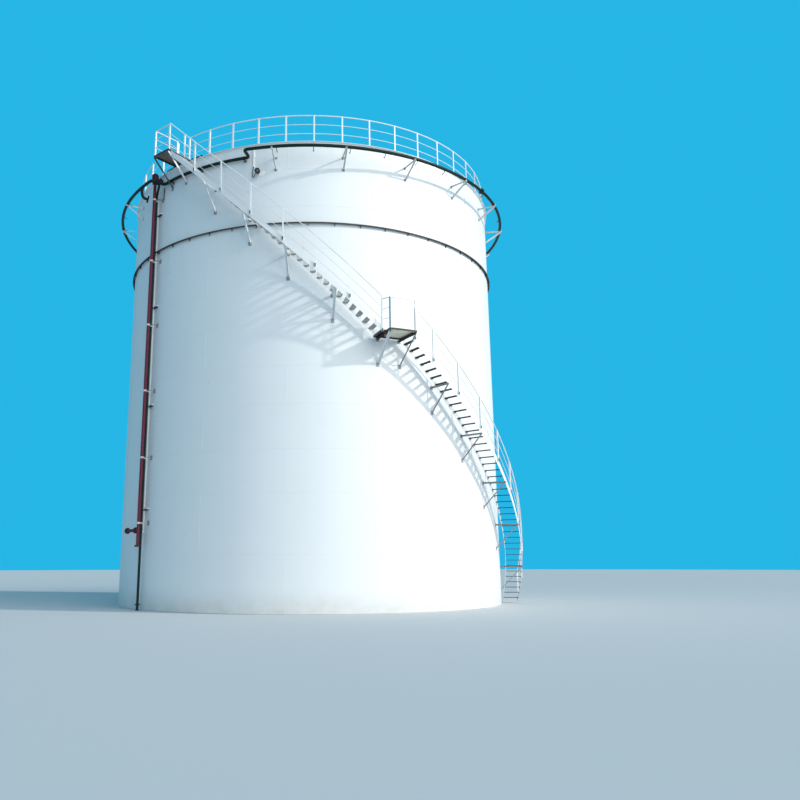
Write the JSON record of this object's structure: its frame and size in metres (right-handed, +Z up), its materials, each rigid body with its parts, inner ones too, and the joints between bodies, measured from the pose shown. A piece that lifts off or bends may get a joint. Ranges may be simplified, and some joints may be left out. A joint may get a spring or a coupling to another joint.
{
  "type": "vertical storage tank",
  "caption": "Upright welded steel storage tank with a domed roof, a curved outside stair, railings, a stiffening ring and a cooling water ring with risers.",
  "frame": {"origin": "centre of the underside of the round bottom plate, at ground level", "axes": "+Z up along the tank's axis; -Y towards the side that the picture shows, with the landing of the stair a little to its right; +X to the right as seen from there"},
  "size_m": [16.5718, 16.5712, 18.3307],
  "materials": {
    "shell_paint": "glossy white paint on steel plate",
    "roof_paint": "weathered white paint on steel plate",
    "stair_paint": "white paint with a little rust",
    "girder_paint": "dark brown weathered paint",
    "green_paint": "dark green gloss paint",
    "maroon_paint": "maroon gloss paint",
    "deck_steel": "worn yellowish-grey paint over steel"
  },
  "bodies": {
    "root": {"shell_panel_1": "shell_paint", "shell_panel_2": "shell_paint", "shell_panel_3": "shell_paint", "shell_panel_4": "shell_paint", "shell_panel_5": "shell_paint", "shell_panel_6": "shell_paint", "shell_panel_7": "shell_paint", "shell_panel_8": "shell_paint", "bottom_plate": "shell_paint", "top_curb": "shell_paint", "cable_conduit": "shell_paint", "flood_lamp": "shell_paint", "roof_vent": "shell_paint", "roof_manhole": "shell_paint", "gauge_hatch": "shell_paint", "shell_manhole": "shell_paint", "inlet_nozzle": "shell_paint", "outlet_nozzle": "shell_paint", "wind_girder": "girder_paint", "roof_dome": "roof_paint", "roof_rail_1": "stair_paint", "stair_lower_1": "stair_paint", "roof_rail_2": "stair_paint", "stair_lower_2": "stair_paint", "roof_rail_3": "stair_paint", "stair_lower_3": "stair_paint", "roof_rail_4": "stair_paint", "stair_lower_4": "stair_paint", "stair_upper_1": "stair_paint", "water_ring_1": "green_paint", "stair_upper_2": "stair_paint", "water_ring_2": "green_paint", "stair_upper_3": "stair_paint", "water_ring_3": "green_paint", "platform_rail": "stair_paint", "landing_rail": "stair_paint", "stair_rail_upper": "stair_paint", "stair_rail_lower": "stair_paint", "stair_landing": "deck_steel", "top_platform": "deck_steel", "water_ring_inset": "green_paint", "ring_flushing_branch": "green_paint", "water_riser": "green_paint", "foam_riser": "maroon_paint", "foam_chamber": "maroon_paint"}
  },
  "joints": []
}
